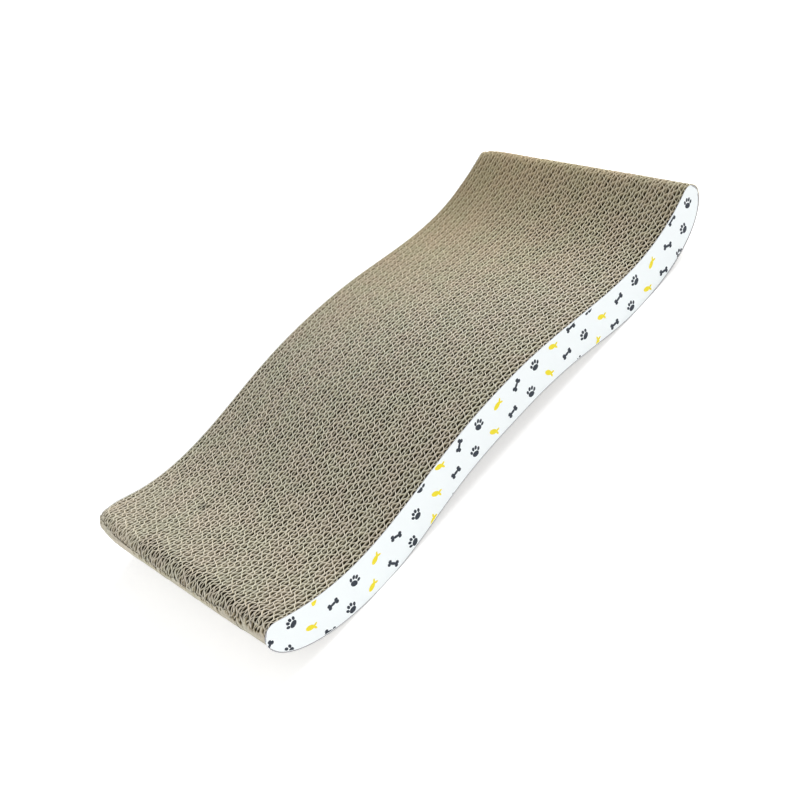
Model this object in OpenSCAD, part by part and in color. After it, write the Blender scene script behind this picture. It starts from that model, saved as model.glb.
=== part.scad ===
// Wave-shaped cat scratcher: strips of double-wall corrugated board, each cut to one wave outline
// and glued side by side, with a thin printed sheet on each long side.
// X runs from nose to nose, Y across the strips, and the floor is at Z 0.

/* [Wave] */
// Length from nose to nose
length = 442; // [380:1:520]
// Width across the strips and both printed sheets
width = 209; // [120:1:320]
// Height of the top of the hump above the floor
hump_height = 43.8; // [38:0.1:60]
// Height of the arch under the hump
arch_height = 13.8; // [6:0.1:20]
// Depth of the two hollows in the top, below the top of the hump
hollow_depth = 13.2; // [6:0.1:18]
// Radius of the sweep that rises from each hollow to the nose
sweep_r = 160; // [130:1:220]
// Radius of the rounded nose at each end
nose_r = 9; // [4:0.5:12]
// Length of the flat foot under each hollow
foot_length = 8; // [4:0.5:20]

/* [Board] */
// Thickness of each of the three liner papers in the board
liner_t = 0.24; // [0.15:0.01:0.4]
// Height of the board's tall flutes
tall_flute_h = 3.2; // [2.4:0.1:4]
// Height of the board's short flutes
short_flute_h = 2.2; // [1.6:0.1:3]

/* [Printed sheets] */
// Thickness of the printed sheet on each long side
sheet_t = 0.45; // [0.2:0.05:1.5]
// Height of the lowest edge of the printed sheets above the floor
sheet_lift = 0.3; // [0.1:0.1:1]

/* [Hidden] */

kraft_colour = "#B5A88B";
sheet_colour = "#F3F7F8";

// Places along the half length, as shares of the whole length
hollow_share = 0.3185;
foot_share = 0.3085;

// How much longer the wave stays near its crest than a plain cosine does
hump_power = 1.15;
arch_power = 1.4;

// Straight steps that each stretch of the outline is drawn with
arch_steps = 20;
belly_steps = 16;
nose_steps = 10;
sweep_steps = 10;
hump_steps = 24;

// Extra reach of a cutting block past what it cuts
overrun = 1;

// The stack of strips fills the width between the sheets with whole boards
liners_in_board = 3;
board_t = liners_in_board * liner_t + tall_flute_h + short_flute_h;
stack_width = width - 2 * sheet_t;
strip_count = round(stack_width / board_t);
strip_t = stack_width / strip_count;

half_length = length / 2;
hollow_x = hollow_share * length;
hollow_z = hump_height - hollow_depth;
foot_inner_x = foot_share * length - foot_length / 2;
foot_outer_x = foot_share * length + foot_length / 2;

// The nose circle touches the sweep circle from below, so the top runs on with no corner
nose_x = half_length - nose_r;
sweep_z = hollow_z + sweep_r;
touch_distance = sweep_r + nose_r;
touch_tilt = asin((nose_x - hollow_x) / touch_distance);
nose_z = sweep_z - touch_distance * cos(touch_tilt);

// Share of the way down from a crest, at a share t of the way along, as half a cosine wave
function fall(t, power) = (1 - cos(180 * pow(t, power))) / 2;

function arch_point(t) = [t * foot_inner_x, arch_height * (1 - fall(t, arch_power))];

function belly_point(t) = [
    foot_outer_x + (half_length - foot_outer_x) * sin(90 * t),
    nose_z * (1 - cos(90 * t))
];

function nose_point(t) = let (angle = t * (90 + touch_tilt))
    [nose_x + nose_r * cos(angle), nose_z + nose_r * sin(angle)];

function sweep_point(t) = let (angle = touch_tilt * (1 - t))
    [hollow_x + sweep_r * sin(angle), sweep_z - sweep_r * cos(angle)];

function hump_point(t) = [
    hollow_x * (1 - t),
    hump_height - hollow_depth * fall(1 - t, hump_power)
];

// Right half of the outline, from the middle of the arch round the nose to the top of the hump
half_outline = concat(
    [for (k = [0 : arch_steps]) arch_point(k / arch_steps)],
    [for (k = [0 : belly_steps]) belly_point(k / belly_steps)],
    [for (k = [1 : nose_steps]) nose_point(k / nose_steps)],
    [for (k = [1 : sweep_steps]) sweep_point(k / sweep_steps)],
    [for (k = [1 : hump_steps]) hump_point(k / hump_steps)]
);

last = len(half_outline) - 1;
wave_outline = concat(
    half_outline,
    [for (k = [last - 1 : -1 : 1]) [-half_outline[k].x, half_outline[k].y]]
);

function strip_name(i) = str("strip_", i < 10 ? "0" : "", i);

// A slice of the wave, from y to y + thickness
module wave_slice(y, thickness) {
    translate([0, y + thickness, 0])
        rotate([90, 0, 0])
            linear_extrude(thickness)
                polygon(wave_outline);
}

// One die-cut strip of double-wall board, counted from the front
module strip(i) {
    color(kraft_colour)
        wave_slice((i - 1) * strip_t - stack_width / 2, strip_t);
}

// A printed sheet with its inner or outer face at y, cut off just above the floor
module side_sheet(y) {
    color(sheet_colour)
        difference() {
            wave_slice(y, sheet_t);
            translate([-half_length, y - overrun, -overrun])
                cube([length, sheet_t + 2 * overrun, sheet_lift + overrun]);
        }
}

module side_sheet_front() {
    side_sheet(-stack_width / 2 - sheet_t);
}

module side_sheet_back() {
    side_sheet(stack_width / 2);
}

for (i = [1 : strip_count]) strip(i);
side_sheet_front();
side_sheet_back();
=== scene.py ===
# %% [markdown]
# A wave-shaped scratching pad for cats. It is a stack of corrugated board strips, glued side by side
# with their flutes upright, between two thin printed sheets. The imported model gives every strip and
# sheet its exact place, so this lesson only dresses them: it opens up the flutes, which the packed
# strips leave solid, and gives the papers their finish.

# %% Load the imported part
import bpy
import bmesh
import math
import random
from mathutils import Matrix, Vector, kdtree


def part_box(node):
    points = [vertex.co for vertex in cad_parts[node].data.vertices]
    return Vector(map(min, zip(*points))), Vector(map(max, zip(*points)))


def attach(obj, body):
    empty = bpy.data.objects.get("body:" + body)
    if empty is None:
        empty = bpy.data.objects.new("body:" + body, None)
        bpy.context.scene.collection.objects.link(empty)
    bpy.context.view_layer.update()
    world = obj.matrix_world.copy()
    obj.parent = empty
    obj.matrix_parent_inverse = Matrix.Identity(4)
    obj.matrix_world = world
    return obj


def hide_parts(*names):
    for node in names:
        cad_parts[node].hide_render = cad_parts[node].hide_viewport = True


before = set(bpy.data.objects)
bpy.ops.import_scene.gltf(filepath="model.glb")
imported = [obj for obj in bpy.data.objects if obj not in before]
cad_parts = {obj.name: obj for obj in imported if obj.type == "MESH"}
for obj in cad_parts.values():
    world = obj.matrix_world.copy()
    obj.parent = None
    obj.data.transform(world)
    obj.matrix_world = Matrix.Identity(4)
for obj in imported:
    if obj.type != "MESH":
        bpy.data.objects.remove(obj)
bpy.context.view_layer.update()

MM = 0.001
STRIPS = sorted(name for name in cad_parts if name.startswith("strip_"))

# %% [markdown]
# The photograph looks along the pad from above its left front corner. The camera is a plain
# perspective camera. It could be placed by eye, but here its place, in millimetres from the middle of
# the floor under the pad, and the directions of its picture's right and top come from fitting the
# pad's outline to the photograph.

# %% Place the camera
CAMERA_MM = Vector((-344.7, -653.8, 562.6))
PICTURE_RIGHT = Vector((0.65514, -0.65285, -0.38022))
PICTURE_UP = Vector((0.66448, 0.25843, 0.70120))

camera_data = bpy.data.cameras.new("camera")
camera_data.lens = 57.87
camera_data.sensor_width = 36.0
camera_data.clip_start = 0.01
camera_data.clip_end = 20.0
camera = bpy.data.objects.new("camera", camera_data)
bpy.context.scene.collection.objects.link(camera)
back = PICTURE_RIGHT.cross(PICTURE_UP).normalized()
up = back.cross(PICTURE_RIGHT).normalized()
turned = Matrix((PICTURE_RIGHT.normalized(), up, back)).transposed().to_4x4()
camera.matrix_world = Matrix.Translation(CAMERA_MM * MM) @ turned
bpy.context.scene.camera = camera
print("camera at", [round(c, 4) for c in camera.location])

# %% [markdown]
# Every strip was cut with the same die, so one packed strip gives the outline for all of them. Two
# rays at each place along it, one from above and one from below, find the height of its top and
# underside. The same rays give a cloud of outline points, which tells how deep any point of paper
# lies behind the cut. The wave could be drawn again from its sizes instead, but a measured one stays
# right when a size changes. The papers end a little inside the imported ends, which leaves room for the
# width of their cut edges.

# %% Measure the wave
strip_low, strip_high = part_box(STRIPS[0])
ROOM_AT_ENDS = 0.37 * MM
HALF_LENGTH = strip_high.x - ROOM_AT_ENDS
MIDDLE_Y = (strip_low.y + strip_high.y) / 2
# Rays start a metre off, well clear of the pad
RAY_START = 1.0
OUTLINE_STEPS = 1100
measured_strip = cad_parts[STRIPS[0]]


def wave_heights(x):
    """Height of the underside and of the top of the pad at x."""
    x = max(-HALF_LENGTH, min(HALF_LENGTH, x))
    up_hit = measured_strip.ray_cast(Vector((x, MIDDLE_Y, -RAY_START)), Vector((0, 0, 1)))
    down_hit = measured_strip.ray_cast(Vector((x, MIDDLE_Y, RAY_START)), Vector((0, 0, -1)))
    return up_hit[1].z, down_hit[1].z


outline = kdtree.KDTree(4 * OUTLINE_STEPS + 2)
for step in range(-OUTLINE_STEPS, OUTLINE_STEPS + 1):
    x = HALF_LENGTH * math.sin(math.pi / 2 * step / OUTLINE_STEPS)
    for z in wave_heights(x):
        outline.insert(Vector((x, 0, z)), 0)
outline.balance()


def depth_mm(x, z):
    """Shortest way from a point inside the pad's side view to its cut surface."""
    return outline.find(Vector((x, 0, z)))[2] / MM


print("underside and top in the middle:", [round(z / MM, 2) for z in wave_heights(0)], "mm")

# %% [markdown]
# A strip is double-wall board: liner, tall fluted paper, liner, short fluted paper, liner. The tall
# flutes repeat every 7.7 mm and the short ones every 6.5 mm, which is what the rows of large and
# small cells in the photograph show. From strip to strip the flutes shift along, because the strips
# were cut from different places of the board.

# %% Sizes of the board
PAPER = 0.24 * MM
# Widths of the cut edges that the blade has pressed over: on the flanks of the flutes, round the
# right nose, and round the left nose from front to back, where those of short flutes are wider
PRESSED_RIM = 0.5 * MM
RIGHT_NOSE_RIM = 0.65 * MM
LEFT_NOSE_RIM_MM = [(-104, 1.0), (-70, 0.95), (-50, 0.65), (104, 0.65)]
SHORT_RIM_SHARE = 1.45
WIDEST_RIM = 1.45 * MM
TALL_PITCH = 7.7 * MM
SHORT_PITCH = 6.5 * MM
# The tall flutes' share of the room between the liners, and how steep the flanks of both kinds are
TALL_SHARE = 0.59
TALL_STEEPNESS = 1.7
SHORT_STEEPNESS = 1.9
# Shares of a pitch by which the flutes shift from strip to strip
TALL_DRIFT = 0.58
SHORT_DRIFT = -0.15
# How much sooner the painted shade gets dark in the narrow cells of the short flutes
SHORT_GLOOM = 1.5
print("flutes along a strip:", round(2 * HALF_LENGTH / TALL_PITCH), "tall,",
      round(2 * HALF_LENGTH / SHORT_PITCH), "short")

# %% [markdown]
# Paper gives way when it is cut and pressed, so nothing in it is quite regular. A random step at every
# point would look jagged. A wander is smooth instead: a sum of a few sine waves with seeded phases. A
# slow one moves the flutes along and squeezes them, and a quicker one bends only the free paper edges
# next to the cut.

# %% A slow wander for paper
random.seed(11)


class Wander:
    """A smooth made-up line whose value stays within about one unit either way."""

    def __init__(self, wavelengths):
        self.waves = [(length * MM, random.uniform(0, math.tau)) for length in wavelengths]

    def at(self, x):
        return sum(math.sin(math.tau * x / length + turn) for length, turn in self.waves) / len(self.waves)


print("wander sample:", round(Wander([30, 71]).at(0.1), 3))

# %% [markdown]
# The real strips don't end in one straight line. The middle ones stand out a little at the left end,
# and the two corners at the back are pushed in and down by some millimetres. So the ends of each
# strip and sheet draw in by an amount that depends on where it lies across the pad, and the back
# corners sink by an amount that grows towards the nose, the back and the top. A lattice could bend the
# whole pad like this, but tables of measured amounts are simple to read and to change.

# %% How the ends are worn
# How far the left and right ends draw in, by place across the pad
LEFT_PULL_MM = [(-104, 0.7), (-80, 0.6), (-66, 0.0), (62, 0.0), (76, 0.4), (86, 1.4), (95, 2.8),
                (104, 7.7)]
RIGHT_PULL_MM = [(-104, 0.0), (0, 0.0), (30, 0.2), (85, 0.1), (94, 0.9), (104, 3.6)]
# Where the drawing in starts, and how much further a strip may draw in by chance
PULL_START = 150 * MM
RAGGED = 0.25 * MM
# How far the back corners sink along the pad, and the shares of that across it and upwards
LEFT_PRESS_MM = [(190, 0.0), (200, 0.7), (205, 2.1), (210, 3.8), (213, 3.5), (216, 2.8), (221, 0.5)]
RIGHT_PRESS_MM = [(178, 0.0), (190, 0.9), (200, 1.7), (205, 2.4), (210, 3.1), (213, 2.2), (216, 1.0),
                  (221, 0.0)]
PRESS_ACROSS = [(92, 0.0), (98, 0.15), (101, 0.5), (104.5, 1.0)]
PRESS_UPWARD = [(26, 0.0), (41, 1.0)]


def from_table(table, value):
    """Straight-line reading of a table of (place, amount) pairs."""
    for (x0, y0), (x1, y1) in zip(table, table[1:]):
        if value <= x1:
            return y0 + (y1 - y0) * max(0.0, value - x0) / (x1 - x0)
    return table[-1][1]


def pressed_down(x, y, z):
    """How far a back corner has sunk at a point, in millimetres."""
    along = from_table(LEFT_PRESS_MM if x < 0 else RIGHT_PRESS_MM, abs(x) / MM)
    return along * from_table(PRESS_ACROSS, y / MM) * from_table(PRESS_UPWARD, z / MM)


def worn(x, y, z, pulls):
    """Moves a point of a strip in by up to its left or right pull, and down in a back corner."""
    share = max(0.0, (abs(x) - PULL_START) / (HALF_LENGTH - PULL_START)) ** 2
    drawn = x + pulls[0] * share if x < 0 else x - pulls[1] * share
    return drawn, y, z - pressed_down(x, y, z) * MM


def end_pulls(y):
    return [from_table(table, y / MM) * MM for table in (LEFT_PULL_MM, RIGHT_PULL_MM)]


print("pulls of the last strip:", [round(pull / MM, 2) for pull in end_pulls(101 * MM)], "mm")

# %% [markdown]
# Round each nose the cut runs nearly along the flutes. The blade has split them lengthwise there and
# smeared the paper into a closed, streaky lip with a few holes left in it, dented and holding painted
# shade. At both corners of the left end the lip climbs to the top of the nose. In front it is torn by
# larger holes there, and at the back it ends in a crease drawn as a painted dark line of shade. The
# tables give its upper border across the pad, and the papers of the strips end a little behind it.

# %% Where the closed lips lie
# Heights of a lip's lower border, and of its upper one across the left and the right end
LIP_LOW = 17 * MM
LEFT_LIP_MM = [(-104, 45.4), (-80, 45.3), (-66, 44.4), (-50, 42.0), (-20, 41.2), (25, 41.2), (36, 41.3),
               (42, 41.5), (58, 42.0), (82, 43.6), (104, 44.6)]
RIGHT_LIP_MM = [(-104, 39.5), (-40, 38.0), (40, 38.6), (104, 40.5)]
# How strong the crease's painted line of shade is at the left end, and how much larger the torn holes are
LIP_CREASE = [(38, 0.0), (52, 1.0)]
LIP_TORN = [(-68, 0.6), (-58, 0.0)]
LIP_RAGGED = Wander([5, 9, 17])
LIP_SMEAR = Wander([2.3, 3.9, 6.1])
# How far behind the lip the papers of the strips end
TUCK = 0.8 * MM


def outline_x(z):
    """How far along the pad its end lies at a height."""
    return measured_strip.ray_cast(Vector((RAY_START, MIDDLE_Y, z)), Vector((-1, 0, 0)))[1].x


def lip_top_mm(end, y):
    return from_table(LEFT_LIP_MM if end < 0 else RIGHT_LIP_MM, y / MM)


def between_0_and_1(value):
    return max(0.0, min(1.0, value))


def tucked(point):
    """Moves a point of a strip's paper back behind the lip, by less near the lip's borders."""
    x, y, z = point
    up = z / MM
    share = between_0_and_1((up - LIP_LOW / MM) / 4)
    share *= between_0_and_1((lip_top_mm(x, y) + 0.6 - up) / 1.4)
    share *= between_0_and_1((abs(x) / MM - 200) / 10)
    return x - math.copysign(TUCK * share, x), y, z


print("the pad ends at", round(outline_x(30 * MM) / MM, 1), "mm at a height of 30 mm")

# %% [markdown]
# Each paper starts as a flat grid. Its columns run along the pad, evenly up to the two noses and
# closer round them, so that the noses come out round. Its six rows run from the underside to the top,
# and they crowd next to the two cuts, where the paper edges bend. Even rows would do the same with
# many more points. The places are the same for every paper with as many columns, so they are measured
# once and kept.

# %% Places of a paper's grid points
# Depths of the rows behind the nearer cut, and the share of the edge's bends that each row follows
ROW_DEPTHS = [0, 0.5 * MM, 3.2 * MM]
ROW_LEANS = [1.0, 0.6, 0.0]
ROW_COUNT = 2 * len(ROW_DEPTHS)
# The columns stand closer over this length at each end
NOSE_LENGTH = 9 * MM
NOSE_COLUMNS = 7
column_cache = {}


def column_place(column, columns):
    """Where a column stands along the pad."""
    from_end = min(column, columns - column)
    if from_end < NOSE_COLUMNS:
        x = HALF_LENGTH - NOSE_LENGTH * (1 - math.cos(math.pi / 2 * from_end / NOSE_COLUMNS))
    else:
        straight = HALF_LENGTH - NOSE_LENGTH
        x = straight * (1 - 2 * (from_end - NOSE_COLUMNS) / (columns - 2 * NOSE_COLUMNS))
    return -x if column < columns - column else x


def grid_places(columns):
    """Places of a grid's points: along the pad, up, the share of the edge's bends, and the depth."""
    if columns not in column_cache:
        places = {}
        for column in range(columns + 1):
            x = column_place(column, columns)
            bottom, top = wave_heights(x)
            for row in range(ROW_COUNT):
                near_edge = min(row, ROW_COUNT - 1 - row)
                inset = min(ROW_DEPTHS[near_edge], (top - bottom) * near_edge / (ROW_COUNT - 1))
                z = bottom + inset if row == near_edge else top - inset
                lean = ROW_LEANS[near_edge] * (-1 if row == near_edge else 1)
                places[column, row] = (x, z, lean, depth_mm(x, z))
        column_cache[columns] = places
    return column_cache[columns]


LINER_COLUMNS = 150
print("grid points of a liner:", len(grid_places(LINER_COLUMNS)))

# %% [markdown]
# The pad doesn't look the same everywhere. Where its top falls towards the right end it is painted
# paler, as painted light on the slopes that face the far lamp. Towards the right end, and most of all
# at its back corner, the cells get less painted shade and look softer and less deep. At the front and
# middle of the left end they get more painted shade and look deeper. Tables give all this, and how light
# the paper is painted along the pad, which is painted light and shade as well, because a painted picture
# would have to be kept beside the script. On the rise to the left end there is one small brown speck.

# %% How the look changes along the pad
# How dark and sharp the painted shade of the cells is along the back edge, the middle and the front edge
CLARITY_BACK = [(-214, 0.9), (-190, 0.84), (-175, 0.85), (-140, 1.05), (-60, 1.05), (-20, 0.9),
                (20, 0.72), (70, 0.58), (140, 0.5), (214, 0.5)]
CLARITY_MIDDLE = [(-214, 0.86), (-140, 1.1), (-50, 1.16), (0, 1.12), (50, 1.0), (110, 0.86), (170, 0.86),
                  (214, 0.63)]
CLARITY_FRONT = [(-214, 0.78), (-160, 0.92), (-100, 1.0), (130, 1.0), (170, 0.94), (214, 0.66)]
# How light the paper is painted along the pad, as painted light and shade, and at its back edge
LEVELS_ALONG = [(-214, 1.03), (-170, 1.02), (-60, 1.01), (-15, 0.995), (75, 0.995), (110, 1.025),
                (145, 1.02), (165, 0.985), (185, 0.935), (198, 0.915), (214, 0.955)]
LEVELS_ACROSS = [(75, 1.0), (90, 0.975)]
# How much more painted shade the left end's cells get along the pad, and the share of it across the pad
DEEPER_SHADE_ALONG = [(-211, 1.1), (-203, 0.0)]
DEEPER_SHADE_ACROSS = [(40, 1.0), (50, 0.0)]
# The middle of the speck, and its half size in millimetres
SPECK = Vector((-165, 41)) * MM
SPECK_MM = 2.3


def clarity(x, y):
    """How dark and sharp the painted shade of the cells is at a place of the pad, 1 for usual."""
    side, share = (CLARITY_BACK, y / 0.09) if y > 0 else (CLARITY_FRONT, -y / 0.09)
    return from_table(side, x / MM) * share + from_table(CLARITY_MIDDLE, x / MM) * (1 - share)


def level(x, y):
    """How light the paper is painted at a place, 1 for usual: painted light on slopes and soft cells change
    it.
    """
    run = 4 * MM
    slope = (wave_heights(x + run)[1] - wave_heights(x - run)[1]) / (2 * run)
    # Painted light: slopes that fall towards the far end face the far lamp and are painted paler
    slope_light = 1 - 0.11 * math.tanh(slope / 0.15)
    dimmed = 0.73 + 0.27 * clarity(x, y)
    return slope_light * dimmed * from_table(LEVELS_ALONG, x / MM) * from_table(LEVELS_ACROSS, y / MM)


def deeper_shade(x, y):
    """How much more painted shade the cells get at a place of the pad, 1 for usual."""
    return 1 + from_table(DEEPER_SHADE_ALONG, x / MM) * from_table(DEEPER_SHADE_ACROSS, y / MM)


def stained(x, y):
    """How much of the speck lies on a point, from 0 to 1."""
    return between_0_and_1(1.7 - (Vector((x, y)) - SPECK).length / MM / SPECK_MM)


print("clarity at the left and right end:", round(clarity(-0.2, 0), 2), round(clarity(0.2, 0), 2))

# %% [markdown]
# A function then puts every grid point in its place: along the flute wave, between the two heights
# that the rays gave. Two point attributes go with it. The first is how deep the point lies behind the
# cut, in millimetres, times a gloom for the narrow cells, where less light gets in, and it drives the
# painted shade inside the cells. The second is a tone, because no two papers are the same; it also
# carries the painted highlight on the rising flanks and the painted light and shade along the pad. A
# vertex group holds the thickness of the paper there.

# %% A grid that becomes one paper
def new_mesh():
    bm = bmesh.new()
    bm.verts.layers.float.new("depth")
    bm.verts.layers.float.new("tone")
    return bm


def add_paper(bm, columns, gloom, y_middle, place, in_strip=True):
    """Adds a grid and asks place(x, z, lean, clear) for a point's place, cut edge's width and tone."""
    thickness_layer = bm.verts.layers.deform.verify()
    depth_layer = bm.verts.layers.float["depth"]
    tone_layer = bm.verts.layers.float["tone"]
    shade = random.uniform(0.98, 1.02)
    places = grid_places(columns)
    spots = [places[column, ROW_COUNT - 1][0] for column in range(columns + 1)]
    clear_here = [clarity(x, y_middle) for x in spots]
    level_here = [level(x, y_middle) * shade for x in spots]
    deeper_shade_here = [deeper_shade(x, y_middle) for x in spots]
    made = bmesh.ops.create_grid(bm, x_segments=columns, y_segments=ROW_COUNT - 1, size=0.5)
    for vert in made["verts"]:
        column = round((vert.co.x + 0.5) * columns)
        row = round((vert.co.y + 0.5) * (ROW_COUNT - 1))
        x, z, lean, depth = places[column, row]
        clear = clear_here[column]
        point, rim, tone = place(x, z, lean, clear)
        if in_strip:
            point = tucked(point)
            stain = stained(*point[:2]) if row >= ROW_COUNT / 2 else 0.0
            # Depth drives the painted shade in the cells; clarity, gloom, deeper shade and the speck scale it
            depth *= clear ** 1.6 * (1 + (gloom - 1) * (2 * clear - 1))
            depth *= deeper_shade_here[column] * (1 + 1.2 * stain)
            # Tone takes the painted light and shade along the pad, and the speck's darker stain
            tone *= level_here[column] * (1 - 0.4 * stain)
        vert.co = point
        vert[depth_layer] = depth
        vert[tone_layer] = tone
        vert[thickness_layer][0] = (PAPER + abs(lean) * (rim - PAPER)) / WIDEST_RIM


print("rows in a paper:", ROW_COUNT)

# %% [markdown]
# Real flutes have steep flanks, and crests that lie flat where they are glued to the liners. One flute
# could be drawn and repeated, but then all would be alike, so the hyperbolic tangent of a sine draws
# the whole paper at once. The flanks that rise along the pad were pressed over by the blade, so their
# cut edges are wider. Their tone gets a painted highlight where the light would catch them, and they
# draw the net of light lines over the dark cells. Liners are held on both sides, so they stay nearly
# straight and a little lower.

# %% Fluted paper and liners
# How far a crest reaches into the liner that it is glued to
BITE = 0.04 * MM
STEPS_PER_FLUTE = 8
# How far a flute wanders, as a share of its pitch, and how much lower the lowest flutes are
SLIP = 0.2
SQUEEZE = 0.08
# How far the free paper edges bend along and across the pad
BEND_ALONG = 0.7 * MM
BEND_ACROSS = 0.3 * MM
LINER_BEND = 0.07 * MM
# How much the cut edges of fluted papers and of liners go up and down
FLUTE_SAG = 0.08 * MM
LINER_SAG = 0.06 * MM
# Tones of the papers, the painted highlight that the cut edges of rising and falling flanks add to
# them, and the share of that along the pad
FLUTE_TONE = 0.9
LINER_TONE = 0.87
RISING_PALER = 0.29
FALLING_PALER = 0.14
PALER_ALONG = [(-170, 0.7), (-110, 1.0)]
# Where along the pad, by its distance from the middle, the wide cut edges of the noses begin
NOSE_MM = [(213.5, 0.0), (218.5, 1.0)]


def add_flutes(bm, y_low, y_high, pitch, steepness, phase, pulls, gloom):
    """Adds the fluted paper that fills the gap between two liners."""
    middle = (y_low + y_high) / 2
    reach = (y_high - y_low - PAPER) / 2 + BITE
    slip = Wander([19, 37, 83, 190])
    squeeze = Wander([13, 29, 61])
    edge_x = Wander([5.3, 9.1, 17])
    edge_y = Wander([4.7, 7.9, 13])
    press = Wander([11, 23, 47])
    sunk = random.uniform(0.06, 0.14) * MM
    widest = from_table(LEFT_NOSE_RIM_MM, middle / MM) * MM * (SHORT_RIM_SHARE if pitch == SHORT_PITCH else 1)

    def place(x, z, lean, clear):
        at_nose = from_table(NOSE_MM, abs(x) / MM)
        turn = math.tau * (x / pitch + phase + SLIP * slip.at(x))
        side = math.tanh(steepness * math.sin(turn)) / math.tanh(steepness)
        slack = 1 - abs(side)
        rising, falling = max(0.0, math.cos(turn)), max(0.0, -math.cos(turn))
        y = middle + reach * (1 - SQUEEZE * abs(squeeze.at(x))) * side
        shifted = x + lean * slack * BEND_ALONG * edge_x.at(x) * (abs(x) < HALF_LENGTH - 2 * MM)
        bent = y + lean * slack * BEND_ACROSS * edge_y.at(x)
        sag = lean * (sunk + FLUTE_SAG * (1 + edge_y.at(x)))

        # The blade widens the cut edge of a flank, half as much where the flank falls
        flare = min(1.0, 1.8 * slack) * (rising + 0.5 * falling) * (0.8 + 0.3 * press.at(x))
        flare *= between_0_and_1(2 * clear - 0.8)
        nose_rim = PAPER + (widest - PAPER) * (0.3 + 0.7 * slack) if x < 0 else RIGHT_NOSE_RIM
        rim = PAPER + flare * (PRESSED_RIM - PAPER) * (1 - at_nose) + at_nose * (nose_rim - PAPER)

        # The flank's tone gets a painted highlight too, but not round the noses
        on_flank = between_0_and_1(2.5 * slack - 0.4) * (1 - at_nose) * min(1.0, clear)
        paler = (RISING_PALER * rising + FALLING_PALER * falling) * from_table(PALER_ALONG, x / MM)
        tone = FLUTE_TONE + 0.1 * at_nose + paler * on_flank
        return worn(shifted, bent, z - sag, pulls), rim, tone

    add_paper(bm, round(2 * HALF_LENGTH / pitch * STEPS_PER_FLUTE), gloom, middle, place)


def add_liner(bm, y, pulls, room, gloom):
    """Adds a flat liner, very slightly wavy at its cut edges where it has the room."""
    edge_y = Wander([6.5, 11, 23])
    sunk = random.uniform(0.1, 0.25) * MM

    def place(x, z, lean, clear):
        sag = lean * (sunk + LINER_SAG * (1 + edge_y.at(x)))
        y_here = y + room * lean * LINER_BEND * edge_y.at(x)
        return worn(x, y_here, z - sag, pulls), PAPER, LINER_TONE

    add_paper(bm, LINER_COLUMNS, gloom, y, place)


print("points along one fluted paper:", round(2 * HALF_LENGTH / TALL_PITCH * STEPS_PER_FLUTE))

# %% [markdown]
# A lip is a small curved grid across each strip, laid out by the way along the outline. Its holes
# could be cut through it, but a dent with painted shade in it looks the same at this size and leaves
# the grid whole. Each row of cells has up to two of them near the lip's upper border. Where the left end
# has its crease, only the back corner has any. Further down, where the blade ran along the flutes,
# each row has a broken slit, which is a dent with painted shade too.

# %% Sizes of a lip
LIP_COLUMNS = 14
LIP_ROWS = 34
# How closely the grid's rows crowd next to the upper border, where the holes are
LIP_CROWDING = 1.6
WAY_STEPS = 80
HOLE_DEPTH = 1.3 * MM
SLIT_DEPTH = 0.7 * MM
# For the upper and the lower hole: its chance, and how far below the border it lies at least and most
HOLE_PLACES_MM = ((0.75, 1.1, 2.2), (0.3, 3.0, 4.2))
# The share of that chance which is left in the back corner
CORNER_HOLES = [(92, 0.0), (96, 0.6)]
# Half widths and heights of a hole in a row of large and of small cells
LARGE_HOLE_MM = (1.15, 1.5)
SMALL_HOLE_MM = (0.8, 1.1)
# Heights up to which the slits reach, by end
SLIT_TOP_MM = {-1: 31.0, 1: 37.0}
# Tone of the left lip across the pad, and of the right one
LEFT_LIP_TONE = [(-60, 0.76), (-40, 0.82), (40, 0.82), (60, 0.72)]
RIGHT_LIP_TONE = 0.66
# How steep the lip stands at a height, and how much paler it is there under its crease
LIP_STEEP = [(38.5, 1.0), (44.5, 0.0)]
LIP_PALER = [(37.5, 0.18), (44.5, 0.0)]


def run_of_outline():
    """Tables, in millimetres, from the way along the outline to x and z, and from z to the way."""
    way, last, x_table, z_table, way_table = 0.0, None, [], [], []
    for k in range(WAY_STEPS + 1):
        z = LIP_LOW + (strip_high.z - 0.1 * MM - LIP_LOW) * math.sin(math.pi / 2 * k / WAY_STEPS)
        point = Vector((outline_x(z), z)) / MM
        way += (point - last).length if last else 0.0
        last = point
        x_table.append((way, point.x))
        z_table.append((way, point.y))
        way_table.append((point.y, way))
    return x_table, z_table, way_table


WAY_TO_X, WAY_TO_Z, Z_TO_WAY = run_of_outline()
print("way round a lip:", round(WAY_TO_Z[-1][0], 1), "mm, points in it:", (LIP_COLUMNS + 1) * (LIP_ROWS + 1))

# %% [markdown]
# The holes of a lip are drawn by lot first, and then every point of the grid is set. A dent or slit
# moves it inwards, which is level on the steep part of the nose and downwards on its top. The lip's
# depth attribute takes painted shade with the same shares, for the dents, slits and crease, and its tone
# attribute takes a painted highlight below the crease, with streaks from two more wanders.

# %% Make a lip
def lip_holes(centres, top, crease):
    """Places and half sizes, in millimetres, of a lip's holes, up to two in each row of cells."""
    holes = []
    for y, width, height in centres:
        open_share = max(1 - crease, from_table(CORNER_HOLES, y))
        torn = 1 + from_table(LIP_TORN, y)
        for chance, least, most in HOLE_PLACES_MM:
            if random.random() < chance * open_share * torn:
                holes.append((y + random.uniform(-0.5, 0.5), top - random.uniform(least, most),
                              width * torn * random.uniform(0.8, 1.1),
                              height * torn * random.uniform(0.8, 1.2)))
    return holes


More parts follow.
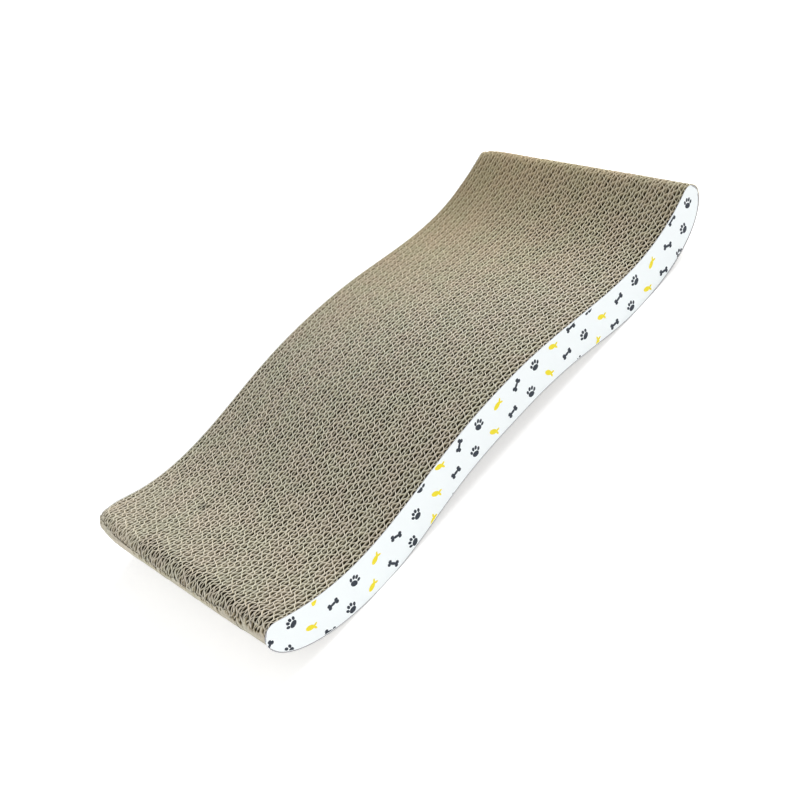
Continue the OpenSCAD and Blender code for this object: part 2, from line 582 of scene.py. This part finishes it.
def add_lip(bm, y_low, y_high, end, pulls, centres):
    """Adds the lip of one strip at the end -1 or 1."""
    thickness_layer = bm.verts.layers.deform.verify()
    depth_layer = bm.verts.layers.float["depth"]
    tone_layer = bm.verts.layers.float["tone"]
    crease = from_table(LIP_CREASE, y_low / MM) if end < 0 else 0.0
    holes = lip_holes(centres, from_table(Z_TO_WAY, lip_top_mm(end, (y_low + y_high) / 2)), crease)
    base_tone = from_table(LEFT_LIP_TONE, y_low / MM) if end < 0 else RIGHT_LIP_TONE
    slit = Wander([7, 16, 41])
    made = bmesh.ops.create_grid(bm, x_segments=LIP_COLUMNS, y_segments=LIP_ROWS, size=0.5)
    for vert in made["verts"]:
        y = y_low + (vert.co.x + 0.5) * (y_high - y_low)
        top = from_table(Z_TO_WAY, lip_top_mm(end, y)) + (1.2 - 0.9 * crease) * LIP_RAGGED.at(y)
        top = min(top, WAY_TO_Z[-1][0])
        way = top * (1 - max(0.0, 0.5 - vert.co.y) ** LIP_CROWDING)
        x, z = from_table(WAY_TO_X, way) * MM, from_table(WAY_TO_Z, way) * MM

        # How far a hole or a slit dents the lip here: fully in its middle, fading out at its border
        near = min([math.hypot((y / MM - hole_y) / width, (way - hole_way) / height)
                    for hole_y, hole_way, width, height in holes] + [2.0])
        dent = between_0_and_1(2.2 - 1.7 * near)
        across = min(abs(y / MM - cell_y) / width for cell_y, width, height in centres)
        split = between_0_and_1(1.6 - 1.8 * across) * between_0_and_1((SLIT_TOP_MM[end] - z / MM) / 4)
        split *= between_0_and_1(0.45 + 1.1 * slit.at(way * MM + y))
        smear = LIP_SMEAR.at(y)
        inset = (0.1 + 0.03 * smear) * MM + dent * HOLE_DEPTH + split * SLIT_DEPTH
        steep = from_table(LIP_STEEP, z / MM)
        place = (end * (x - inset * (0.5 + 0.5 * steep)), y, z - inset * (0.85 - 0.85 * steep))
        vert.co = worn(*place, pulls)

        # Painted shade: dark in holes, slits and the broken line under the crease's border
        curl = between_0_and_1(1 - (top - way) / 0.4)
        crease_shade = max(0.0, 0.45 + 1.1 * LIP_RAGGED.at(y * 0.7)) * crease
        vert[depth_layer] = 2.5 * dent + 1.7 * curl * crease_shade + 2.0 * split

        # Painted highlight: pale on the ridge below that line of shade. Paler lower down under the crease,
        # and streaky all over
        ridge = between_0_and_1(1 - abs(top - way - 1.2) / 0.9) * crease
        grain = 0.12 * LIP_SMEAR.at(way * MM + y / 9) + random.uniform(-0.05, 0.05) + 0.1 * ridge
        paler_below = from_table(LIP_PALER, z / MM) * crease
        vert[tone_layer] = base_tone + paler_below + 0.08 * smear + grain
        vert[thickness_layer][0] = 0.5 * PAPER / WIDEST_RIM


print("holes in a row of cells:", len(HOLE_PLACES_MM), "at most")

# %% [markdown]
# A paper has a thickness, which could be drawn as a second grid, but the Solidify modifier does it
# better: it gives half to each side, follows the vertex group, and puts the cut edges in a second
# material slot, because a cut edge is paler and rougher than the paper's face.

# %% Give the papers their thickness
def thick_paper(bm, name, thickness):
    """Turns a bmesh of thin papers into a piece of the given paper thickness."""
    mesh = bpy.data.meshes.new(name)
    bm.to_mesh(mesh)
    bm.free()
    mesh.shade_smooth()
    piece = bpy.data.objects.new(name, mesh)
    bpy.context.scene.collection.objects.link(piece)
    solid = piece.modifiers.new("paper thickness", "SOLIDIFY")
    solid.thickness = thickness
    solid.offset = 0.0
    solid.use_quality_normals = True
    solid.material_offset_rim = 1
    solid.vertex_group = piece.vertex_groups.new(name="thickness").name
    return piece


print("paper", round(PAPER / MM, 2), "mm, cut edges up to", round(WIDEST_RIM / MM, 2), "mm")

# %% [markdown]
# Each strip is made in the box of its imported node: three liners, the two fluted papers in the gaps
# between them, and the two lips. The outermost strip in front is turned round, with its short flutes
# outwards, as the photograph shows.

# %% Make every strip
def make_strip(name, number):
    low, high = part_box(name)
    pulls = [pull + random.uniform(0, RAGGED) for pull in end_pulls((low.y + high.y) / 2)]
    bm = new_mesh()
    gap = high.y - low.y - 3 * PAPER
    first = gap * (TALL_SHARE if number > 0 else 1 - TALL_SHARE)
    split = low.y + 1.5 * PAPER + first
    behind_tall, behind_short = (1.0, SHORT_GLOOM) if number > 0 else (SHORT_GLOOM, 1.0)
    add_liner(bm, low.y + PAPER / 2, pulls, 0, 1.0)
    add_liner(bm, split, pulls, 1, behind_tall)
    add_liner(bm, high.y - PAPER / 2, pulls, 0, behind_short)
    near = (low.y + PAPER, split - PAPER / 2)
    far = (split + PAPER / 2, high.y - PAPER)
    tall, short = (near, far) if number > 0 else (far, near)
    tall_phase = TALL_DRIFT * number + random.uniform(-0.1, 0.1)
    short_phase = SHORT_DRIFT * number + random.uniform(-0.12, 0.12)
    add_flutes(bm, *tall, TALL_PITCH, TALL_STEEPNESS, tall_phase, pulls, 1.0)
    add_flutes(bm, *short, SHORT_PITCH, SHORT_STEEPNESS, short_phase, pulls, SHORT_GLOOM)
    centres = [(sum(tall) / 2 / MM, *LARGE_HOLE_MM), (sum(short) / 2 / MM, *SMALL_HOLE_MM)]
    for end in (-1, 1):
        add_lip(bm, low.y + 0.02 * MM, high.y - 0.02 * MM, end, pulls, centres)
    return thick_paper(bm, "corrugated_" + name, WIDEST_RIM)


strips = [make_strip(name, number) for number, name in enumerate(STRIPS)]
print("strips made:", len(strips), "faces in the first:", len(strips[0].data.polygons))

# %% [markdown]
# A printed sheet is thin card, die-cut to the same wave and glued on flat. The imported sheet's own mesh
# could be used, but one more grid can have the same worn ends as the strips. It stops just above the
# floor. Its tone attribute is the width, in millimetres, of a grey border of painted shade along its
# edge: it runs along the underside and round the noses.

# %% Make the printed sheets
SHEET_COLUMNS = 320
# Width of the grey border of painted shade along the pad, and where it starts to run round the noses
BORDER_MM = [(100, 0.75), (180, 1.2)]
BORDER_NOSE = 216 * MM
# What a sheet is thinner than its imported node
SHEET_GAP = 0.02 * MM


def make_sheet(name, pulls):
    low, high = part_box(name)
    bm = new_mesh()

    def place(x, z, lean, clear):
        # The grey border of painted shade runs along the underside and round the noses
        on_grey_border = z < sum(wave_heights(x)) / 2 or abs(x) > BORDER_NOSE
        grey = from_table(BORDER_MM, x / MM) if on_grey_border else 0.0
        return worn(x, (low.y + high.y) / 2, max(z, low.z), pulls), PAPER, grey

    add_paper(bm, SHEET_COLUMNS, 1.0, low.y, place, in_strip=False)
    full = (high.y - low.y - SHEET_GAP) * WIDEST_RIM / PAPER
    return thick_paper(bm, name.replace("side", "printed"), full)


front_sheet = make_sheet("side_sheet_front", [0.0, 1.3 * MM])
back_sheet = make_sheet("side_sheet_back", [7.9 * MM, 4.6 * MM])
print("sheets:", front_sheet.name, back_sheet.name)

# %% [markdown]
# One small function adds a shader node. Settings are set by name, and each input is given a plain
# value, or the output or node that feeds it. Colours are written as sRGB hex, as a paint program
# shows them, and another function turns them to the linear values that the shader works in.

# %% Tools for materials
def linear(hex_colour):
    channels = [int(hex_colour[i:i + 2], 16) / 255 for i in (1, 3, 5)]
    return [c / 12.92 if c <= 0.04045 else ((c + 0.055) / 1.055) ** 2.4 for c in channels] + [1.0]


def add_node(tree, kind, inputs=None, **settings):
    """Adds a node; an input that is given a node takes that node's first output."""
    node = tree.nodes.new(kind)
    for name, value in settings.items():
        setattr(node, name, value)
    for key, value in (inputs or {}).items():
        source = value.outputs[0] if isinstance(value, bpy.types.Node) else value
        if isinstance(source, bpy.types.NodeSocket):
            tree.links.new(source, node.inputs[key])
        else:
            node.inputs[key].default_value = source
    return node


def new_material(name):
    material = bpy.data.materials.new(name)
    material.use_nodes = True
    tree = material.node_tree
    return material, tree, tree.nodes["Principled BSDF"]


print("mid grey is", [round(c, 3) for c in linear("#808080")])

# %% [markdown]
# Kraft paper is made from recycled pulp: grey-brown, matt and slightly fibrous. Inside a flute its
# colour carries painted shade, falling off to dark within a few millimetres, and a ramp of five colours
# holds that, from the pale edge to the dark of the hole. The others are the colours of the cut edge, of
# the pale band of painted light on the shaded underside of both noses, of greenish and pinkish patches,
# and of the browner back right corner.

# %% Colours of kraft paper
# The ramp holds the painted shade inside the flutes, from the pale edge to the dark of the hole
KRAFT_RAMP = [(0.0, "#F0EBDB"), (0.14, "#E6DFCA"), (0.37, "#BCB299"), (0.67, "#5A523B"), (1.0, "#302C1F")]
# The pale band of painted light on the noses' shaded underside
CUT_EDGE = "#F4F0E4"
UNDERSIDE_LIGHT = "#F2F0E6"
PATCH_COOL = "#F8F9F1"
PATCH_WARM = "#FCF7F2"
CORNER_TINT = "#FFF5E1"
# How deep behind the cut the ramp ends
DARK_AT_MM = 2.5
# Grains of noise in a metre: patches of 18 mm, holes of 5 mm, and fibres of 0.45 mm, drawn about twice
# as coarse as the real ones so that they show
PATCH_SCALE = 55.0
HOLE_SCALE = 190.0
FIBRE_SCALE = 2200.0
print("ramp stops:", len(KRAFT_RAMP))

# %% [markdown]
# One function makes the material twice, for the paper's face and for its cut edge. The depth
# attribute drives the ramp of painted shade, and noise as large as a cell makes the painted shade of
# some holes darker than others. Over that go the pale band of painted light under the noses, patches
# about two centimetres wide from slow noise, the browner corner, the paper's own tone, with its painted
# light and highlights, and its fibres, which also roughen it a little.

# %% Nodes of kraft paper
def kraft_material(name, is_cut_edge):
    material, tree, shader = new_material(name)
    coords = add_node(tree, "ShaderNodeTexCoord").outputs["Object"]
    axes = add_node(tree, "ShaderNodeSeparateXYZ", {0: coords})
    depth = add_node(tree, "ShaderNodeAttribute", attribute_name="depth").outputs["Fac"]
    tone = add_node(tree, "ShaderNodeAttribute", attribute_name="tone").outputs["Fac"]

    # Holes differ in how soon their painted shade goes dark
    cells = add_node(tree, "ShaderNodeTexNoise", {"Vector": coords, "Scale": HOLE_SCALE, "Detail": 0.0})
    murk = add_node(tree, "ShaderNodeMapRange", {"Value": cells, "From Min": 0.3, "From Max": 0.7,
                                                "To Min": 0.65 / DARK_AT_MM, "To Max": 1.35 / DARK_AT_MM})
    share = add_node(tree, "ShaderNodeMath", {0: depth, 1: murk}, operation="MULTIPLY")
    ramp = add_node(tree, "ShaderNodeValToRGB", {"Fac": share})
    stops = [(0.0, CUT_EDGE), (1.0, CUT_EDGE)] if is_cut_edge else KRAFT_RAMP
    while len(ramp.color_ramp.elements) < len(stops):
        ramp.color_ramp.elements.new(0.5)
    for element, (position, colour) in zip(ramp.color_ramp.elements, stops):
        element.position = position
        element.color = linear(colour)

    # Painted light: a pale band on the shaded underside of the noses
    along = add_node(tree, "ShaderNodeMath", {0: axes.outputs["X"]}, operation="ABSOLUTE")
    at_end = add_node(tree, "ShaderNodeMapRange", {"Value": along, "From Min": 205 * MM,
                                                  "From Max": 212 * MM})
    low_down = add_node(tree, "ShaderNodeMapRange", {"Value": axes.outputs["Z"], "From Min": 36 * MM,
                                                    "From Max": 30 * MM})
    shallow = add_node(tree, "ShaderNodeMapRange", {"Value": depth, "From Min": 1.6, "From Max": 0.4})
    band = add_node(tree, "ShaderNodeMath", {0: at_end, 1: low_down}, operation="MULTIPLY")
    underside_share = add_node(tree, "ShaderNodeMath", {0: band, 1: shallow}, operation="MULTIPLY")
    underside_lit = add_node(tree, "ShaderNodeMix", {0: underside_share, 6: ramp, 7: linear(UNDERSIDE_LIGHT)}, data_type="RGBA")

    # Patches, and the browner back right corner
    patches = add_node(tree, "ShaderNodeTexNoise", {"Vector": coords, "Scale": PATCH_SCALE, "Detail": 1.0})
    tint = add_node(tree, "ShaderNodeValToRGB", {"Fac": patches})
    for element, position, colour in zip(tint.color_ramp.elements, (0.36, 0.64), (PATCH_COOL, PATCH_WARM)):
        element.position = position
        element.color = linear(colour)
    corner = add_node(tree, "ShaderNodeMath", {0: axes.outputs["Y"], 1: 0.8, 2: axes.outputs["X"]},
                      operation="MULTIPLY_ADD")
    near_it = add_node(tree, "ShaderNodeMapRange", {"Value": corner, "From Min": 30 * MM,
                                                   "From Max": 250 * MM})
    brown = add_node(tree, "ShaderNodeMix", {0: near_it, 6: (1, 1, 1, 1), 7: linear(CORNER_TINT)},
                     data_type="RGBA")
    patched = add_node(tree, "ShaderNodeVectorMath", {0: underside_lit.outputs[2], 1: tint}, operation="MULTIPLY")
    tinted = add_node(tree, "ShaderNodeVectorMath", {0: patched, 1: brown.outputs[2]}, operation="MULTIPLY")

    # Fibres, and the paper's tone, which also holds painted light and highlights
    fibres = add_node(tree, "ShaderNodeTexNoise", {"Vector": coords, "Scale": FIBRE_SCALE, "Detail": 3.0})
    mottle = add_node(tree, "ShaderNodeMapRange", {"Value": fibres, "From Min": 0.3, "From Max": 0.7,
                                                  "To Min": 0.90, "To Max": 1.06})
    level_value = add_node(tree, "ShaderNodeMath", {0: mottle, 1: tone}, operation="MULTIPLY")
    final = add_node(tree, "ShaderNodeVectorMath", {0: tinted, "Scale": level_value}, operation="SCALE")
    bump = add_node(tree, "ShaderNodeBump", {"Height": fibres, "Strength": 0.35, "Distance": 0.05 * MM})
    tree.links.new(final.outputs[0], shader.inputs["Base Color"])
    tree.links.new(bump.outputs[0], shader.inputs["Normal"])
    shader.inputs["Roughness"].default_value = 0.92
    shader.inputs["Specular IOR Level"].default_value = 0.25
    return material


kraft_face = kraft_material("kraft_paper_face", False)
kraft_edge = kraft_material("kraft_paper_cut_edge", True)
print("kraft materials:", kraft_face.name, kraft_edge.name)

# %% [markdown]
# The printed sheets are smooth white card with a small all-over print of paws, bones and fish. A
# motif could be a picture, but a few ellipses stay sharp at any size. Each is written as the place of
# its middle, its two half widths and its turn, in millimetres and degrees. A point is inked where it
# lies inside any of them.

# %% Motifs of the print
PAW = [(0.0, -1.5, 2.7, 2.0, 0), (-3.1, 0.9, 1.0, 1.45, 25), (-1.15, 2.7, 1.05, 1.5, 8),
       (1.15, 2.7, 1.05, 1.5, -8), (3.1, 0.9, 1.0, 1.45, -25)]
FISH = [(-0.9, 0.0, 3.3, 1.85, 0), (2.9, 0.95, 1.75, 0.8, 38), (2.9, -0.95, 1.75, 0.8, -38)]
BONE = [(0.0, 0.0, 3.4, 1.0, 0), (-3.1, 1.05, 1.35, 1.2, 20), (-3.1, -1.05, 1.35, 1.2, -20),
        (3.1, 1.05, 1.35, 1.2, -20), (3.1, -1.05, 1.35, 1.2, 20)]


def inked(tree, place, blobs):
    """A value that is 1 where place lies inside any of the ellipses, and 0 elsewhere."""
    nearest = 9.0
    for x, y, across, tall, turn in blobs:
        inside = add_node(tree, "ShaderNodeMapping", {"Vector": place, "Location": (x, y, 0),
                                                      "Rotation": (0, 0, math.radians(turn)),
                                                      "Scale": (across, tall, 1)}, vector_type="TEXTURE")
        length = add_node(tree, "ShaderNodeVectorMath", {0: inside}, operation="LENGTH").outputs["Value"]
        nearest = add_node(tree, "ShaderNodeMath", {0: nearest, 1: length}, operation="MINIMUM")
    return add_node(tree, "ShaderNodeMath", {0: nearest, 1: 1.0}, operation="LESS_THAN")


print("ellipses in the motifs:", len(PAW), len(FISH), len(BONE))

# %% [markdown]
# The print is worked out in millimetres on the sheet's flat face. Rows of cells are shifted against
# each other, each cell holds one motif, and white noise turns every motif by its own angle. A thin grey
# line of painted shade runs along the card's edge.

# %% Printed card
SHEET_WHITE = "#F5FAFB"
# The grey of the painted shade along the card's edge
EDGE_GREY = "#A6A6A9"
INK_DARK = "#2A313B"
INK_YELLOW = "#F1DF30"
# Width of the unprinted rim, sizes of a motif's cell, and how far each row is shifted
UNPRINTED_MM = 1.1
CELL_MM = (19.4, 14.2)
ROW_SHIFT_MM = 8.3
# In radians
LARGEST_TURN = 0.95
# Grains of noise in a metre: an unevenness of 1.1 mm, drawn coarser than the real one so that it shows
CARD_SCALE = 900.0


def printed_material(name):
    material, tree, shader = new_material(name)
    coords = add_node(tree, "ShaderNodeTexCoord").outputs["Object"]
    in_mm = add_node(tree, "ShaderNodeVectorMath", {0: coords, "Scale": 1000.0}, operation="SCALE")
    axes = add_node(tree, "ShaderNodeSeparateXYZ", {0: in_mm})
    row = add_node(tree, "ShaderNodeMath", {0: axes.outputs["Z"], 1: CELL_MM[1]}, operation="DIVIDE")
    row = add_node(tree, "ShaderNodeMath", {0: row}, operation="FLOOR")
    shifted = add_node(tree, "ShaderNodeMath", {0: row, 1: ROW_SHIFT_MM, 2: axes.outputs["X"]},
                       operation="MULTIPLY_ADD")
    flat = add_node(tree, "ShaderNodeCombineXYZ", {"X": shifted, "Y": axes.outputs["Z"]})
    cells = add_node(tree, "ShaderNodeVectorMath", {0: flat, 1: (*CELL_MM, 1)}, operation="DIVIDE")
    number = add_node(tree, "ShaderNodeVectorMath", {0: cells}, operation="FLOOR")
    inside = add_node(tree, "ShaderNodeVectorMath", {0: cells}, operation="FRACTION")
    local = add_node(tree, "ShaderNodeVectorMath", {0: inside, 1: (*CELL_MM, 0),
                                                    2: (-CELL_MM[0] / 2, -CELL_MM[1] / 2, 0)},
                     operation="MULTIPLY_ADD")
    chance = add_node(tree, "ShaderNodeTexWhiteNoise", {"Vector": number}, noise_dimensions="3D")
    angle = add_node(tree, "ShaderNodeMapRange", {"Value": chance, "To Min": -LARGEST_TURN,
                                                 "To Max": LARGEST_TURN})
    place = add_node(tree, "ShaderNodeVectorRotate", {"Vector": local, "Angle": angle},
                     rotation_type="Z_AXIS")
    count = add_node(tree, "ShaderNodeVectorMath", {0: number, 1: (1, 2, 0)}, operation="DOT_PRODUCT")
    kind = add_node(tree, "ShaderNodeMath", {0: count.outputs["Value"], 1: 3.0},
                    operation="FLOORED_MODULO")

    depth = add_node(tree, "ShaderNodeAttribute", attribute_name="depth").outputs["Fac"]
    tone = add_node(tree, "ShaderNodeAttribute", attribute_name="tone").outputs["Fac"]
    inner = add_node(tree, "ShaderNodeMath", {0: depth, 1: UNPRINTED_MM}, operation="GREATER_THAN")
    colour = add_node(tree, "ShaderNodeRGB").outputs[0]
    colour.default_value = linear(SHEET_WHITE)
    for chosen, (blobs, ink) in enumerate(((PAW, INK_DARK), (FISH, INK_YELLOW), (BONE, INK_DARK))):
        here = add_node(tree, "ShaderNodeMath", {0: kind, 1: float(chosen), 2: 0.5}, operation="COMPARE")
        printed = add_node(tree, "ShaderNodeMath", {0: here, 1: inked(tree, place, blobs)},
                           operation="MULTIPLY")
        printed = add_node(tree, "ShaderNodeMath", {0: printed, 1: inner}, operation="MULTIPLY")
        colour = add_node(tree, "ShaderNodeMix", {0: printed, 6: colour, 7: linear(ink)},
                          data_type="RGBA").outputs[2]
    # Painted shade: a thin grey line along the card's edge, as wide as the tone attribute
    greyed = add_node(tree, "ShaderNodeMath", {0: depth, 1: tone}, operation="LESS_THAN")
    colour = add_node(tree, "ShaderNodeMix", {0: greyed, 6: colour, 7: linear(EDGE_GREY)},
                      data_type="RGBA").outputs[2]
    uneven = add_node(tree, "ShaderNodeTexNoise", {"Vector": coords, "Scale": CARD_SCALE, "Detail": 2.0})
    bump = add_node(tree, "ShaderNodeBump", {"Height": uneven, "Strength": 0.15, "Distance": 0.05 * MM})
    tree.links.new(colour, shader.inputs["Base Color"])
    tree.links.new(bump.outputs[0], shader.inputs["Normal"])
    shader.inputs["Roughness"].default_value = 0.6
    shader.inputs["Specular IOR Level"].default_value = 0.3
    return material


printed_card = printed_material("printed_white_card")
print("nodes in the print:", len(printed_card.node_tree.nodes))

# %% [markdown]
# The cut edge of the card shows its grey pulp, with the same fine fibres as the kraft paper.

# %% Cut edge of the card
card_edge, tree, shader = new_material("white_card_cut_edge")
coords = add_node(tree, "ShaderNodeTexCoord").outputs["Object"]
fibres = add_node(tree, "ShaderNodeTexNoise", {"Vector": coords, "Scale": FIBRE_SCALE, "Detail": 3.0})
pulp = add_node(tree, "ShaderNodeValToRGB", {"Fac": fibres})
for element, position, colour in zip(pulp.color_ramp.elements, (0.3, 0.7), ("#A4A3A7", "#BAB9BD")):
    element.position = position
    element.color = linear(colour)
tree.links.new(pulp.outputs[0], shader.inputs["Base Color"])
shader.inputs["Roughness"].default_value = 0.85
shader.inputs["Specular IOR Level"].default_value = 0.25
print("made", card_edge.name)

# %% [markdown]
# Every piece gets a material for its faces and one for its cut edges, in that order, because the
# Solidify modifier puts the edges in the second slot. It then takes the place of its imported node, and
# rides on the only body, because nothing on the pad moves.

# %% Dress the pieces
for piece, name in zip(strips, STRIPS):
    piece.data.materials.append(kraft_face)
    piece.data.materials.append(kraft_edge)
    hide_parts(name)
    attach(piece, "root")
for piece, name in ((front_sheet, "side_sheet_front"), (back_sheet, "side_sheet_back")):
    piece.data.materials.append(printed_card)
    piece.data.materials.append(card_edge)
    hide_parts(name)
    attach(piece, "root")
print("pieces dressed:", len(strips) + 2)

# %% [markdown]
# The pad lies on a plain pale floor. What the camera sees of the floor is lifted with a little
# emission, so that it comes out white without more light on the pad, and its shadow stays soft.

# %% Lay the floor
SEEN_RAYS = ("Is Camera Ray", "Is Glossy Ray", "Is Transmission Ray")


def seen_directly(tree):
    """A value that is 1 for rays that come from the camera, a reflection or through glass."""
    path = add_node(tree, "ShaderNodeLightPath")
    seen = 0.0
    for ray in SEEN_RAYS:
        seen = add_node(tree, "ShaderNodeMath", {0: seen, 1: path.outputs[ray]}, operation="MAXIMUM")
    return seen


bm = bmesh.new()
bmesh.ops.create_grid(bm, x_segments=1, y_segments=1, size=6)
floor_mesh = bpy.data.meshes.new("floor")
bm.to_mesh(floor_mesh)
bm.free()
floor = bpy.data.objects.new("floor", floor_mesh)
bpy.context.scene.collection.objects.link(floor)
floor_material, tree, shader = new_material("pale_floor")
lift = add_node(tree, "ShaderNodeMath", {0: seen_directly(tree), 1: 0.5}, operation="MULTIPLY")
tree.links.new(lift.outputs[0], shader.inputs["Emission Strength"])
shader.inputs["Emission Color"].default_value = (1, 1, 1, 1)
shader.inputs["Base Color"].default_value = linear("#F6F6F6")
shader.inputs["Roughness"].default_value = 1.0
shader.inputs["Specular IOR Level"].default_value = 0.0
floor.data.materials.append(floor_material)
print("floor is", [round(side, 1) for side in floor.dimensions], "m")

# %% [markdown]
# The light is a pale room and two large softboxes. The main one stands high at the far end, so that
# slopes that face it come out lighter, as in the photograph, and the other faces the printed sheet.

# %% Light the pad
world = bpy.data.worlds.new("studio")
world.use_nodes = True
tree = world.node_tree
backdrop = tree.nodes["Background"]
backdrop.inputs["Color"].default_value = (1, 1, 1, 1)
strength = add_node(tree, "ShaderNodeMix", {0: seen_directly(tree), 2: 0.45, 3: 1.0}, data_type="FLOAT")
tree.links.new(strength.outputs[0], backdrop.inputs["Strength"])
bpy.context.scene.world = world


def add_softbox(name, place, size, watts):
    data = bpy.data.lights.new(name, "AREA")
    data.shape = "RECTANGLE"
    data.size = size
    data.size_y = size
    data.energy = watts
    lamp = bpy.data.objects.new(name, data)
    bpy.context.scene.collection.objects.link(lamp)
    lamp.location = place
    lamp.rotation_euler = (Vector((0, 0, 0.02)) - lamp.location).to_track_quat("-Z", "Y").to_euler()
    return lamp


lamps = [add_softbox("far_softbox", (1.3, 0.1, 1.3), 1.4, 27),
         add_softbox("front_softbox", (-1.1, -1.35, 0.6), 1.2, 13)]
print("lamps:", [lamp.name for lamp in lamps])

# %% [markdown]
# The last step sets the plain view transform and updates the view layer.

# %% Finish
bpy.context.scene.view_settings.view_transform = "Standard"
bpy.context.view_layer.update()
